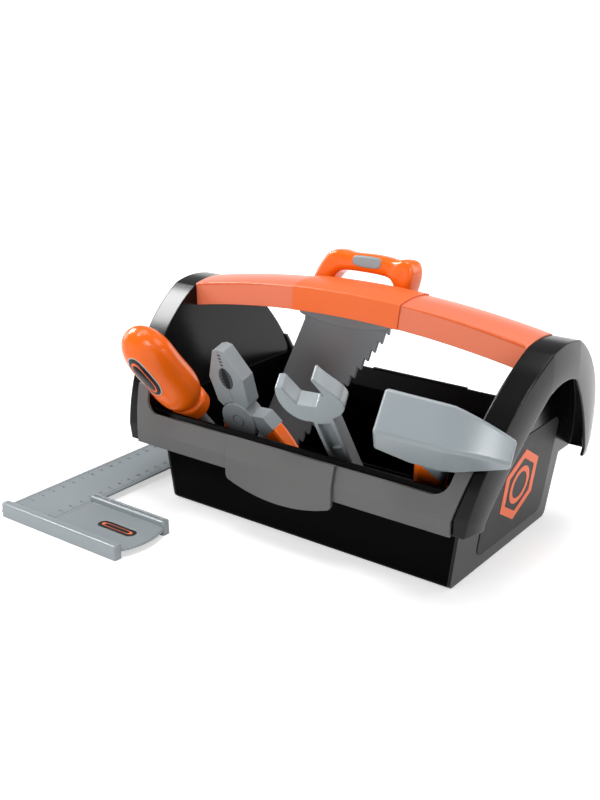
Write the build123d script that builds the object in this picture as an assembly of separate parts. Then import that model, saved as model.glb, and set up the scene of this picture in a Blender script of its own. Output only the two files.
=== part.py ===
from build123d import *
import os
from math import atan, cos, degrees, radians, sin, sqrt, tan

# Toy tool box with its tools standing in it and a square lying beside it.
# Millimetres, +Z up, +X along the box, -Y towards the front.
# The origin is the middle of the tub's underside.

# Shared by every piece
seat_gap = 0.3
skin_gap = 0.15
overrun = 60.0
long_overrun = 180.0

# Tub
tub_half_length = 142.7
end_draft_share = 0.132
floor_corner_radius = 5.0
wall_bottom_half_width = 85.0
wall_top_half_width = 87.0
wall_top_height = 67.0
ledge_half_width = 92.5
ledge_height = 78.0
rim_half_width = 106.2
rim_height = 94.0
tub_wall = 2.2

# Hoods, the black ends that carry the handle
end_plate_thickness = 2.4
band_width = 13.6
band_draft_share = 0.17
flank_reach = 5.0
flank_bulge_share = 0.76
foot_half_width = 111.8
foot_height = 62.5
foot_cut_height = 10.0
shoulder_height = 76.0
side_arc_radius = 167.6
side_arc_lean = 13.8
crown_half_width = 24.0
crown_rise = 3.2
visor_wall = 2.5
arch_half_width = 90.0
arch_leg_height = 70.0
arch_shoulder_half_width = 25.0
arch_shoulder_height = 153.0
arch_rise = 5.7
arch_leg_bow = 3.0

# Fascias and their centre plates
fascia_thickness = 2.2
fascia_bottom = 62.2
fascia_crease = 74.4
fascia_top = 90.3
fascia_end_top = 112.0
fascia_reach = 16.3
fascia_end_spread = 9.0
scoop_inner = 151.0
scoop_radius = 15.0
centre_half_width = 54.0
centre_thickness = 2.8
centre_drop = 6.5
centre_sag = 10.0
centre_lip = 1.2
centre_corner_radius = 5.0

# Handle
handle_crease_height = 202.9
handle_bow_radius = 920.0
handle_top_half_width = 22.0
handle_bottom_half_width = 24.3
handle_height = 19.6
handle_crown = 2.6
handle_wall = 2.6
handle_edge_radius = 1.6
grip_half_length = 54.4
grip_thickness = 0.9

# Plate on the right end
label_front = -47.0
label_rear = 70.0
label_bottom = 12.0
label_top = 104.0
label_corner_radius = 10.0
label_thickness = 0.5

# Hammer, measured from the butt of its handle
hammer_inset = 71.5
hammer_y = 6.6
hammer_settle = 0.9
hammer_length = 220.5
hammer_along_shares = (0.9156, 0.3638, -0.1725)
hammer_up_shares = (0.3810, -0.6447, 0.6627)
head_block_reach = 41.0
head_claw_reach = 57.0
head_width = 36.0
head_block_height = 34.0
head_eye_height = 46.0
head_eye_back = 14.0
head_eye_front = 20.0
claw_width = 20.0
claw_drop = 16.0
claw_slant = 28.65
claw_thickness = 11.0
head_edge_radius = 3.2
hammer_handle_width = 26.0
hammer_handle_depth = 20.0
hammer_handle_radius = 6.0
hammer_grip_length = 142.0
hammer_grip_slant = 44.0
hammer_socket_depth = 14.0
hammer_socket_wall = 3.0

# Saw, in its own leaning plane
saw_lean = 8.11
saw_y = 14.0
blade_thickness = 3.2
blade_tip_front = -101.0
blade_heel_x = -130.0
blade_heel_height = 29.0
blade_top_left = -84.0
blade_top_right = 8.0
blade_tail = 11.0
tooth_count = 17
tooth_depth = 4.6
ferrule_left = -87.0
ferrule_right = 12.0
ferrule_bottom = 156.5
ferrule_height = 13.5
ferrule_thickness = 15.0
ferrule_radius = 4.0
ferrule_sag = 6.0
loop_left_bottom = -82.0
loop_left = -76.5
loop_right = 31.0
loop_right_bottom = 20.0
loop_waist_height = 199.0
loop_height = 57.0
loop_shoulder = 13.0
loop_bar = 19.0
loop_post = 28.0
loop_base = 16.0
loop_thickness = 24.0
loop_edge_radius = 6.0
loop_inner_radius = 5.0
insert_length = 38.0
insert_width = 9.5
insert_depth = 1.4
insert_proud = 0.5

# Wrench, measured from the butt of its shank
wrench_x = 36.0
wrench_y = -28.1
wrench_settle = 1.1
wrench_across_shares = (0.9455, 0.2810, 0.1648)
wrench_front_shares = (0.3257, -0.8109, -0.4861)
wrench_thickness = 16.0
shank_width = 18.0
shank_length = 141.0
shank_foot_share = 0.3
shank_pocket_depth = 5.0
shank_rail = 3.2
shank_pocket_length = 110.0
shank_bar_length = 8.0
shank_bar_width = 2.4
shank_bar_step = 30.4
shank_bar_height = 1.8
wrench_edge_radius = 1.0
wrench_corner_radius = 1.2
jaw_size = 48.0
jaw_left_tip_shares = ((-0.571, 0.846), (-0.463, 0.838))
jaw_mouth_shares = ((-0.325, 0.425), (-0.035, 0.331), (0.190, 0.594))
jaw_right_tip_shares = ((0.079, 0.971), (0.133, 0.998))
jaw_back_shares = (
    (0.133, 0.998), (0.358, 0.613), (0.458, 0.304), (0.325, 0.110), (0.0, 0.0),
    (-0.354, 0.035), (-0.535, 0.233), (-0.619, 0.581), (-0.571, 0.846),
)

# Pliers, measured from the pivot; each settle is how far a rounded end sinks from its square corner
pliers_x = -72.5
pliers_y = -70.0
pliers_settle = 0.8
pliers_lean = 17.0
pliers_roll = 4.5
pliers_thickness = 14.0
pliers_gap = 0.3
lap_gap = 0.2
boss_groove = 0.5
boss_rise = 0.8
pivot_boss_radius = 18.2
pin_radius = 5.3
pin_running_gap = 0.05
pin_ring_width = 0.7
pin_ring_depth = 1.2
jaw_length = 71.5
jaw_tip_half_width = 5.8
jaw_tip_drop = 1.4
jaw_cheek_half_width = 19.0
jaw_cheek_height = 43.5
jaw_root_half_width = 17.5
jaw_root_height = 18.5
jaw_nick_height = 43.0
jaw_nick_length = 20.5
jaw_nick_width = 5.4
jaw_nick_depth = 3.4
pliers_handle_width = 20.0
handle_reach = 91.0
joint_slant = 40.0
wide_root_x = 19.0
wide_root_rise = 8.0
wide_knee_x = 44.0
wide_knee_drop = 50.0
wide_end_x = 42.0
wide_joint_x = 28.0
wide_joint_drop = 11.0
close_root_x = 9.0
close_root_rise = -2.0
close_knee_x = 23.0
close_knee_drop = 46.0
close_end_x = 20.0
close_joint_x = 14.0
close_joint_drop = 9.5
grip_edge_radius = 3.4

# Screwdriver, measured along its shaft from the tip
driver_inset = 17.2
driver_y = -4.6
driver_lean = 40.24
driver_tip_radius = 5.2
driver_shaft_radius = 5.0
driver_shaft_length = 110.0
driver_collar_radius = 17.0
driver_collar_length = 16.0
bulb_length = 98.0
bulb_neck_radius = 13.5
bulb_radius = 20.0
bulb_nose_radius = 17.6
bulb_wide_share = 0.44
bulb_nose_share = 0.83
blade_flat_length = 22.0
blade_flat_thickness = 2.4

# Square
stock_left = -241.5
stock_length = 143.5
stock_front = -207.5
stock_width = 66.0
stock_lip_height = 13.0
stock_lip_width = 8.6
stock_ridge_start = -189.0
stock_ridge_groove = 2.2
stock_groove_depth = 1.3
stock_deck_height = 8.0
stock_deck_thickness = 2.0
stock_tab_reach = 12.0
stock_end_bulge = 6.0
stock_corner_radius = 1.6
stock_plan_radius = 2.5
square_blade_left = -242.0
square_blade_width = 57.5
square_blade_end = -10.0
square_blade_thickness = 2.0
square_blade_corner = 5.0
badge_length = 42.0
badge_width = 12.0
badge_end_gap = 10.0
badge_depth = 0.9


def draft_plane(offset, slope):
    """The leaning plane x = offset + slope * z, facing outwards."""
    return Plane(origin=(offset, 0, 0), x_dir=(0, 1, 0), z_dir=(1, 0, -slope))


def keep_below(body, plane):
    """The part of a body on the inner side of a plane."""
    return split(body, bisect_by=plane, keep=Keep.BOTTOM)


def keep_above(body, plane):
    """The part of a body on the outer side of a plane."""
    return split(body, bisect_by=plane, keep=Keep.TOP)


def mirrored(points):
    """Half an outline and its mirror image, as one closed run."""
    return points + [(-x, y) for x, y in reversed(points)]


def along_x(face, start, end):
    """A face drawn as (y, z), drawn out from x = start to x = end."""
    return extrude(Pos(start, 0, 0) * (Plane.YZ * face), end - start)


def along_y(face, start, end):
    """A face drawn as (x, z), drawn out from y = start to y = end."""
    return extrude(Pos(0, end, 0) * (Plane.XZ * face), end - start)


def other_end(body):
    """The same piece for the left end."""
    return mirror(body, about=Plane.YZ)


def other_side(body):
    """The same piece for the rear."""
    return mirror(body, about=Plane.XZ)


# Tub: one drafted shell, with a ledge along the front and rear
def tub_section(top):
    half = [
        (wall_bottom_half_width, 0),
        (wall_top_half_width, wall_top_height),
        (ledge_half_width, ledge_height),
        (rim_half_width, rim_height),
        (rim_half_width, top),
    ]
    outline = Polyline(*mirrored(half), close=True)
    face = make_face(outline)
    floor_corners = face.vertices().sort_by(Axis.Y)[:2]
    return fillet(floor_corners, floor_corner_radius)


def make_tub():
    end_plane = draft_plane(tub_half_length, end_draft_share)
    inner_end_plane = draft_plane(tub_half_length - tub_wall, end_draft_share)
    section = tub_section(rim_height + overrun)
    inner_section = offset(section, amount=-tub_wall, kind=Kind.INTERSECTION)
    reach = tub_half_length + overrun
    outer = keep_below(along_x(section, 0, reach), end_plane)
    inner = keep_below(along_x(inner_section, -tub_wall, reach), inner_end_plane)
    rim = Plane(origin=(0, 0, rim_height), z_dir=(0, 0, 1))
    half = keep_below(outer - inner, rim)
    return half + other_end(half)


# Hood outline: the foot, the long side arc and the low crown
arc_centre_y = foot_half_width - side_arc_radius * cos(radians(side_arc_lean))
arc_centre_z = shoulder_height - side_arc_radius * sin(radians(side_arc_lean))


def side_arc_y(z, radius=side_arc_radius):
    """Half width of the hood's side arc at a height."""
    return arc_centre_y + sqrt(radius ** 2 - (z - arc_centre_z) ** 2)


def side_arc_z(y, radius=side_arc_radius):
    """Height of the hood's side arc at a half width."""
    return arc_centre_z + sqrt(radius ** 2 - (y - arc_centre_y) ** 2)


crown_shoulder_z = side_arc_z(crown_half_width)
crown_z = crown_shoulder_z + crown_rise


def hood_points(inset):
    """Foot, shoulder, side arc and crown points, moved inwards by an inset."""
    radius = side_arc_radius - inset
    foot = (foot_half_width - inset, foot_height)
    shoulder = (foot_half_width - inset, shoulder_height)
    crown_y = crown_half_width - inset / 2
    middle_z = (shoulder_height + crown_shoulder_z) / 2
    middle = (side_arc_y(middle_z, radius), middle_z)
    crown_shoulder = (crown_y, side_arc_z(crown_y, radius))
    crown = (0, crown_z - inset)
    return foot, shoulder, middle, crown_shoulder, crown


def arch_points(inset):
    """The same points for the opening that looks out at the end."""
    foot = (arch_half_width - inset, foot_height)
    shoulder = (arch_half_width - inset, arch_leg_height)
    crown_shoulder = (arch_shoulder_half_width - inset / 2, arch_shoulder_height - inset)
    middle_y = (shoulder[0] + crown_shoulder[0]) / 2 + arch_leg_bow
    middle_z = (shoulder[1] + crown_shoulder[1]) / 2 + arch_leg_bow
    crown = (0, arch_shoulder_height + arch_rise - inset)
    return foot, shoulder, (middle_y, middle_z), crown_shoulder, crown


def blend_points(first, second, share):
    """Points part way from one outline to another."""
    return [
        (a[0] + (b[0] - a[0]) * share, a[1] + (b[1] - a[1]) * share)
        for a, b in zip(first, second)
    ]


def hood_face(points):
    """A closed arch outline drawn flat as (y, z)."""
    foot, shoulder, middle, crown_shoulder, crown = points
    edges = [
        Line((-foot[0], foot[1]), foot),
        Line(foot, shoulder),
        ThreePointArc(shoulder, middle, crown_shoulder),
        ThreePointArc(crown_shoulder, crown, (-crown_shoulder[0], crown_shoulder[1])),
        ThreePointArc(
            (-crown_shoulder[0], crown_shoulder[1]),
            (-middle[0], middle[1]),
            (-shoulder[0], shoulder[1]),
        ),
        Line((-shoulder[0], shoulder[1]), (-foot[0], foot[1])),
    ]
    return make_face(Wire(edges))


hood_reach = tub_half_length + overrun * 2


def hood_bar(points):
    """An arch outline drawn out along the box, past the hood on both sides."""
    return along_x(hood_face(points), 0, hood_reach)


def hood_slice(points, plane):
    """The flat face where a leaning plane cuts a drawn-out arch."""
    body = keep_below(hood_bar(points), plane)
    return body.faces().sort_by(Axis.X)[-1]


def visor_solid(inset):
    """The band and its swelling flank, as a solid moved inwards by an inset."""
    outer = hood_points(inset)
    arch = arch_points(visor_wall / 2 + inset)
    swell = blend_points(outer, arch, 1 / 2)
    bevel_offset = tub_half_length + end_plate_thickness + band_width - inset
    bevel = draft_plane(bevel_offset, band_draft_share)
    swell_plane = draft_plane(bevel_offset + flank_reach * flank_bulge_share, band_draft_share)
    rim = draft_plane(bevel_offset + flank_reach, band_draft_share)
    band = keep_below(hood_bar(outer), bevel)
    flank = loft([hood_slice(outer, bevel), hood_slice(swell, swell_plane), hood_slice(arch, rim)])
    return band + flank


def make_hood():
    """Right hood: end plate, band, flank and the arched opening."""
    inner_plane = draft_plane(tub_half_length, end_draft_share)
    plate_plane = draft_plane(tub_half_length + end_plate_thickness, end_draft_share)
    lower_half = [
        (wall_bottom_half_width, 0),
        (wall_top_half_width, wall_top_height),
        (wall_top_half_width, ledge_height),
    ]
    lower = make_face(Polyline(*mirrored(lower_half), close=True))
    lower = fillet(lower.vertices().sort_by(Axis.Y)[:2], floor_corner_radius)
    plate = keep_below(along_x(lower, 0, hood_reach), plate_plane)
    space = keep_above(visor_solid(visor_wall), plate_plane)
    opening = keep_above(hood_bar(arch_points(0)), plate_plane)
    foot_gap_face = Pos(0, foot_height) * Rectangle(arch_half_width * 2, foot_cut_height)
    foot_gap = keep_above(along_x(foot_gap_face, 0, hood_reach), plate_plane)
    visor = visor_solid(0) - space - opening - foot_gap
    return keep_above(visor + plate, inner_plane)


# Fascia: a skirt under a crease, and above it a sheet that follows the hood's side
fascia_inner_radius = side_arc_radius + seat_gap
fascia_outer_radius = fascia_inner_radius + fascia_thickness


def wrap_section(inner, outer, low, high):
    """Section (y, z) of a sheet between two offsets of the hood's side."""
    def edge_y(radius, z):
        return -side_arc_y(max(z, fascia_crease), radius)

    middle_z = (fascia_crease + high) / 2
    edges = [
        Line((edge_y(outer, fascia_crease), low), (edge_y(outer, fascia_crease), fascia_crease)),
        ThreePointArc(
            (edge_y(outer, fascia_crease), fascia_crease),
            (edge_y(outer, middle_z), middle_z),
            (edge_y(outer, high), high),
        ),
        Line((edge_y(outer, high), high), (edge_y(inner, high), high)),
        ThreePointArc(
            (edge_y(inner, high), high),
            (edge_y(inner, middle_z), middle_z),
            (edge_y(inner, fascia_crease), fascia_crease),
        ),
        Line((edge_y(inner, fascia_crease), fascia_crease), (edge_y(inner, fascia_crease), low)),
        Line((edge_y(inner, fascia_crease), low), (edge_y(outer, fascia_crease), low)),
    ]
    return make_face(Wire(edges))


def make_fascia():
    section = wrap_section(fascia_inner_radius, fascia_outer_radius, fascia_bottom, fascia_end_top)
    fascia_half_length = tub_half_length + fascia_reach
    reach = fascia_half_length + fascia_end_spread + overrun
    sheet = along_x(section, -reach, reach)
    half = [
        (fascia_half_length, fascia_bottom),
        (fascia_half_length, fascia_crease),
        (fascia_half_length + fascia_end_spread, fascia_end_top),
        (scoop_inner + fascia_end_spread / 2, fascia_end_top),
        (scoop_inner, fascia_top),
    ]
    outline = make_face(Polyline(*mirrored(half), close=True))
    scoop_corners = outline.vertices().filter_by(lambda v: abs(abs(v.X) - scoop_inner) < seat_gap)
    outline = fillet(scoop_corners, scoop_radius)
    return sheet & along_y(outline, -long_overrun, 0)


def make_centre_plate():
    top = fascia_top + centre_lip
    low = fascia_bottom - centre_drop - centre_sag
    inner = fascia_outer_radius + skin_gap
    section = wrap_section(inner, inner + centre_thickness, low - overrun, top)
    sheet = along_x(section, -centre_half_width, centre_half_width)
    side_z = fascia_bottom - centre_drop
    edges = [
        Line((-centre_half_width, side_z), (-centre_half_width, top)),
        Line((-centre_half_width, top), (centre_half_width, top)),
        Line((centre_half_width, top), (centre_half_width, side_z)),
        ThreePointArc((centre_half_width, side_z), (0, low), (-centre_half_width, side_z)),
    ]
    outline = make_face(Wire(edges))
    bottom_corners = outline.vertices().sort_by(Axis.Y)[:2]
    outline = fillet(bottom_corners, centre_corner_radius)
    return sheet & along_y(outline, -long_overrun, 0)


# Handle: a bowed channel between the two end plates, with a sleeve at its middle
bow_axis = Axis((0, 0, handle_crease_height - handle_bow_radius), (0, 1, 0))
handle_foot_height = handle_crease_height - handle_height


def channel_face(proud, wall):
    """Section (y, z) of a channel that is open below."""
    top_y = handle_top_half_width + proud
    foot_y = handle_bottom_half_width + proud
    crease_z = handle_crease_height + proud
    edges = [
        Line((-foot_y, handle_foot_height), (-top_y, crease_z)),
        ThreePointArc((-top_y, crease_z), (0, crease_z + handle_crown), (top_y, crease_z)),
        Line((top_y, crease_z), (foot_y, handle_foot_height)),
        Line((foot_y, handle_foot_height), (foot_y - wall, handle_foot_height)),
        Line((foot_y - wall, handle_foot_height), (top_y - wall, crease_z - wall)),
        ThreePointArc(
            (top_y - wall, crease_z - wall),
            (0, crease_z + handle_crown - wall),
            (-top_y + wall, crease_z - wall),
        ),
        Line((-top_y + wall, crease_z - wall), (-foot_y + wall, handle_foot_height)),
        Line((-foot_y + wall, handle_foot_height), (-foot_y, handle_foot_height)),
    ]
    face = make_face(Wire(edges))
    creases = [v for v in face.vertices() if abs(v.Y - crease_z) < skin_gap and abs(abs(v.X) - top_y) < skin_gap]
    return fillet(creases, handle_edge_radius)


def bowed(face, half_length):
    """A section swung along the handle's bow to a half length on each side."""
    swing = degrees(half_length / handle_bow_radius)
    start = (Plane.YZ * face).rotate(bow_axis, -swing)
    return revolve(start, bow_axis, swing * 2)


def make_handle_bar():
    bar = bowed(channel_face(0, handle_wall), tub_half_length + overrun)
    bar = keep_below(bar, draft_plane(tub_half_length, end_draft_share))
    left_plane = Plane(origin=(-tub_half_length, 0, 0), x_dir=(0, 1, 0), z_dir=(-1, 0, -end_draft_share))
    return keep_below(bar, left_plane)


def make_handle_grip():
    return bowed(channel_face(skin_gap + grip_thickness, grip_thickness), grip_half_length)


# Plate on the end face, flush against it
def make_end_label():
    face_plane = draft_plane(tub_half_length + end_plate_thickness, end_draft_share)
    face = Rectangle(label_rear - label_front, label_top - label_bottom)
    face = fillet(face.vertices(), label_corner_radius)
    middle = Pos((label_front + label_rear) / 2, (label_bottom + label_top) / 2)
    block = along_x(middle * face, 0, tub_half_length + overrun)
    outer_plane = face_plane.offset(label_thickness)
    return keep_below(keep_above(block, face_plane), outer_plane)


# Hammer, drawn upright: x along the head, y across it, z up the handle
def unit(shares):
    size = sqrt(sum(s ** 2 for s in shares))
    return tuple(s / size for s in shares)


floor_seat = tub_wall + seat_gap
hammer_along = unit(hammer_along_shares)
hammer_up = unit(hammer_up_shares)
hammer_across = Vector(*hammer_up).cross(Vector(*hammer_along))
hammer_lift = abs(hammer_along[2]) * hammer_handle_width / 2 + abs(hammer_across.Z) * hammer_handle_depth / 2
hammer_place = Plane(
    origin=(tub_half_length - hammer_inset, hammer_y, floor_seat + hammer_lift - hammer_settle),
    x_dir=hammer_along,
    z_dir=hammer_up,
)
hammer_socket_height = hammer_length - head_eye_height


def make_hammer_head():
    top = hammer_length
    claw_end = (cos(radians(claw_slant)), -sin(radians(claw_slant)))
    side_edges = [
        Line((-head_block_reach, top), (0, top)),
        Spline((0, top), (head_claw_reach, top - claw_drop), tangents=((1, 0), claw_end)),
        Line((head_claw_reach, top - claw_drop), (head_claw_reach, top - claw_drop - claw_thickness)),
        Line(
            (head_claw_reach, top - claw_drop - claw_thickness),
            (head_eye_front, top - head_eye_height),
        ),
        Line((head_eye_front, top - head_eye_height), (-head_eye_back, top - head_eye_height)),
        Line((-head_eye_back, top - head_eye_height), (-head_block_reach, top - head_block_height)),
        Line((-head_block_reach, top - head_block_height), (-head_block_reach, top)),
    ]
    side = along_y(make_face(Wire(side_edges)), -head_width / 2, head_width / 2)
    plan_half = [
        (-head_block_reach, head_width / 2),
        (head_eye_front / 2, head_width / 2),
        (head_claw_reach, claw_width / 2),
    ]
    plan_points = plan_half + [(x, -y) for x, y in reversed(plan_half)]
    plan = extrude(Pos(0, 0, top - overrun) * make_face(Polyline(*plan_points, close=True)), overrun * 2)
    head = side & plan
    head = fillet(head.edges(), head_edge_radius)
    socket = Pos(0, 0, hammer_socket_height + hammer_socket_depth / 2) * Box(
        hammer_handle_width + seat_gap - hammer_socket_wall * 2,
        hammer_handle_depth + seat_gap - hammer_socket_wall * 2,
        hammer_socket_depth,
    )
    return hammer_place * (head - socket)


def hammer_bar():
    face = RectangleRounded(hammer_handle_width, hammer_handle_depth, hammer_handle_radius)
    return extrude(face, hammer_socket_height)


def grip_cut():
    """The slanted upper end of the orange grip."""
    low = hammer_grip_length - hammer_grip_slant / 2
    high = hammer_grip_length + hammer_grip_slant / 2
    half = hammer_handle_width / 2 + seat_gap
    side = Polyline((-half, -overrun), (-half, high), (half, low), (half, -overrun), close=True)
    return along_y(make_face(side), -overrun, overrun)


def make_hammer_handle():
    tenon = Pos(0, 0, hammer_socket_height + hammer_socket_depth / 2 - seat_gap) * Box(
        hammer_handle_width - hammer_socket_wall * 2,
        hammer_handle_depth - hammer_socket_wall * 2,
        hammer_socket_depth - seat_gap,
    )
    return hammer_place * ((hammer_bar() - grip_cut()) + tenon)


def make_hammer_grip():
    return hammer_place * (hammer_bar() & grip_cut())


# Saw, in its own plane: x along the box, y up the blade, z towards the front
saw_place = Plane(
    origin=(0, saw_y, 0),
    x_dir=(1, 0, 0),
    z_dir=(0, -cos(radians(saw_lean)), sin(radians(saw_lean))),
)


def flat_block(face, thickness):
    """A face drawn out evenly to both sides of its plane."""
    return extrude(face, thickness / 2, both=True)


blade_top_height = ferrule_bottom - seat_gap
blade_tip_height = (floor_seat + sin(radians(saw_lean)) * blade_thickness / 2) / cos(radians(saw_lean))


def saw_tooth_points():
    """The toothed edge, from the tip up to the ferrule."""
    run_x = blade_top_right - blade_tip_front
    run_y = blade_top_height - blade_tip_height
    length = sqrt(run_x ** 2 + run_y ** 2)
    inward = (-run_y / length * tooth_depth, run_x / length * tooth_depth)
    points = [(blade_tip_front, blade_tip_height)]
    for index in range(1, tooth_count + 1):
        x = blade_tip_front + run_x * index / tooth_count
        y = blade_tip_height + run_y * index / tooth_count
        points.append((x + inward[0], y + inward[1]))
        points.append((x, y))
    return points


def make_saw_blade():
    outline = saw_tooth_points() + [
        (blade_top_right, blade_top_height + blade_tail),
        (blade_top_left, blade_top_height + blade_tail),
        (blade_top_left, blade_top_height),
        (blade_heel_x, blade_heel_height),
    ]
    face = make_face(Polyline(*outline, close=True))
    return saw_place * flat_block(face, blade_thickness)


def make_saw_ferrule():
    top = ferrule_bottom + ferrule_height
    middle_x = (ferrule_left + ferrule_right) / 2
    low_left = (ferrule_left, ferrule_bottom + ferrule_sag)
    low_right = (ferrule_right, ferrule_bottom + ferrule_sag)
    edges = [
        ThreePointArc(low_left, (middle_x, ferrule_bottom), low_right),
        Line(low_right, (ferrule_right, top)),
        Line((ferrule_right, top), (ferrule_left, top)),
        Line((ferrule_left, top), low_left),
    ]
    block = flat_block(make_face(Wire(edges)), ferrule_thickness)
    block = fillet(block.edges().filter_by(Axis.Z), ferrule_radius)
    pocket_height = blade_top_height + blade_tail - ferrule_bottom + seat_gap
    pocket_width = blade_top_right - blade_top_left + seat_gap * 2
    pocket_middle = Pos(
        (blade_top_right + blade_top_left) / 2, ferrule_bottom + pocket_height / 2
    )
    pocket = flat_block(pocket_middle * Rectangle(pocket_width, pocket_height), blade_thickness + seat_gap * 2)
    return saw_place * (block - pocket)


loop_bottom = ferrule_bottom + ferrule_height
loop_top = loop_bottom + loop_height


def make_saw_loop():
    outer = [
        (loop_left_bottom, loop_bottom),
        (loop_left, loop_waist_height),
        (loop_left + loop_shoulder, loop_top),
        (loop_right - loop_shoulder / 2, loop_top),
        (loop_right, loop_waist_height),
        (loop_right_bottom, loop_bottom),
    ]
    inner_bottom = loop_bottom + loop_base
    inner_top = loop_top - loop_bar
    inner = [
        (loop_left + loop_post, inner_bottom),
        (loop_left + loop_post, inner_top - loop_inner_radius),
        (loop_left + loop_post + loop_inner_radius, inner_top),
        (loop_right - loop_post, inner_top),
        (loop_right - loop_post, inner_bottom),
    ]
    outline = make_face(Polyline(*outer, close=True))
    outline = fillet(outline.vertices().filter_by(lambda v: v.Y > loop_bottom + seat_gap), loop_edge_radius)
    hole = make_face(Polyline(*inner, close=True))
    hole = fillet(hole.vertices(), loop_inner_radius / 2)
    body = flat_block(outline - hole, loop_thickness)
    rims = body.edges().filter_by(lambda e: abs(abs(e.center().Z) - loop_thickness / 2) < skin_gap)
    body = fillet(rims, loop_edge_radius)
    return body


def insert_face(grow):
    middle = Pos((loop_left + loop_right) / 2 + loop_inner_radius, loop_top - loop_bar / 2)
    return middle * SlotOverall(insert_length + grow * 2, insert_width + grow * 2)


def make_saw_handle():
    recess = Pos(0, 0, loop_thickness / 2 - insert_depth) * extrude(insert_face(skin_gap), overrun)
    return saw_place * (make_saw_loop() - recess)


def make_saw_insert():
    plate = extrude(insert_face(0), insert_depth + insert_proud - skin_gap)
    plate = Pos(0, 0, loop_thickness / 2 - insert_depth + skin_gap) * plate
    return saw_place * plate


# Wrench, in its own plane: x across, y up the shank, z towards the front
wrench_front = Vector(*unit(wrench_front_shares))
wrench_across = Vector(*unit(wrench_across_shares))
wrench_lift = abs(wrench_front.Z) * wrench_thickness / 2 + abs(wrench_across.Z) * shank_width / 2
wrench_place = Plane(
    origin=(wrench_x, wrench_y, floor_seat + wrench_lift - wrench_settle),
    x_dir=wrench_across,
    z_dir=wrench_front,
)


def sized(shares, base):
    """Points given as shares of the jaw size, set on the end of the shank."""
    return [(x * jaw_size, base + y * jaw_size) for x, y in shares]


def jaw_face():
    """The open end: a curved back, two tips and the mouth between them."""
    back = Spline(*sized(jaw_back_shares, shank_length))
    front = sized(jaw_left_tip_shares + jaw_mouth_shares + jaw_right_tip_shares, shank_length)
    return make_face(Wire([back, *Polyline(*front).edges()]))


def make_wrench():
    reach = shank_length + shank_width / 2
    shank = Pos(0, reach / 2) * Rectangle(shank_width, reach)
    shank = fillet(shank.vertices().sort_by(Axis.Y)[:2], shank_width * shank_foot_share)
    outline = shank + jaw_face()
    outline = fillet(outline.vertices().filter_by(lambda v: v.Y > shank_width), wrench_corner_radius)
    body = flat_block(outline, wrench_thickness)
    rims = body.edges().filter_by(lambda e: abs(abs(e.center().Z) - wrench_thickness / 2) < skin_gap)
    body = fillet(rims, wrench_edge_radius)
    pocket_top = shank_length - shank_rail
    pocket_middle = Pos(0, pocket_top - shank_pocket_length / 2)
    pocket_face = pocket_middle * Rectangle(shank_width - shank_rail * 2, shank_pocket_length)
    pocket = Pos(0, 0, wrench_thickness / 2 - shank_pocket_depth) * extrude(pocket_face, overrun)
    body = body - pocket
    bar_count = int(shank_pocket_length // shank_bar_step)
    for index in range(bar_count):
        y = pocket_top - shank_rail - shank_bar_step * index
        z = wrench_thickness / 2 - shank_pocket_depth + shank_bar_height / 2
        body = body + Pos(0, y, z) * Box(shank_bar_length, shank_bar_width, shank_bar_height)
    return wrench_place * body


# Pliers, in their own plane: x across, y up the jaws, z towards the front
roll = radians(pliers_roll)
pivot_height = (
    floor_seat
    + cos(radians(pliers_lean)) * (handle_reach * cos(roll) + close_end_x * sin(roll))
    + sin(radians(pliers_lean)) * pliers_thickness / 2
    - pliers_settle
)
pliers_place = Plane(
    origin=(pliers_x, pliers_y, pivot_height),
    x_dir=(cos(roll), -sin(roll) * sin(radians(pliers_lean)), sin(roll) * cos(radians(pliers_lean))),
    z_dir=(0, -cos(radians(pliers_lean)), -sin(radians(pliers_lean))),
)


def jaw_outline():
    """The left jaw, from the pivot up to its tip."""
    half_gap = pliers_gap / 2
    return make_face(Polyline(
        (-half_gap, 0),
        (-half_gap, jaw_length),
        (-jaw_tip_half_width, jaw_length - jaw_tip_drop),
        (-jaw_cheek_half_width, jaw_cheek_height),
        (-jaw_root_half_width, jaw_root_height),
        (-half_gap, 0),
        close=True,
    ))


def jaw_nicks():
    """The oval hollows in both faces, between the jaws."""
    face = Pos(0, jaw_nick_height) * Ellipse(jaw_nick_width, jaw_nick_length / 2)
    solid_web = pliers_thickness / 2 - jaw_nick_depth
    front = Pos(0, 0, solid_web) * extrude(face, pliers_thickness)
    return front + mirror(front, about=Plane.XY)


def handle_face(root, knee, end_x):
    """A right handle, from the boss down to its rounded end."""
    half = pliers_handle_width / 2
    outer = Spline((root[0] + half, root[1]), (knee[0] + half, -knee[1]), (end_x + half, half - handle_reach))
    inner = Spline((end_x - half, half - handle_reach), (knee[0] - half, -knee[1]), (root[0] - half, root[1]))
    end = ThreePointArc(outer @ 1, (end_x, -handle_reach), inner @ 0)
    return make_face(Wire([outer, end, inner, Line(inner @ 1, outer @ 0)]))


def grip_zone(joint):
    """Everything below the slanted joint between neck and grip."""
    size = handle_reach * 2
    return Pos(joint[0], -joint[1]) * (Rot(0, 0, joint_slant) * (Pos(0, -size / 2) * Rectangle(size, size)))


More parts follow.
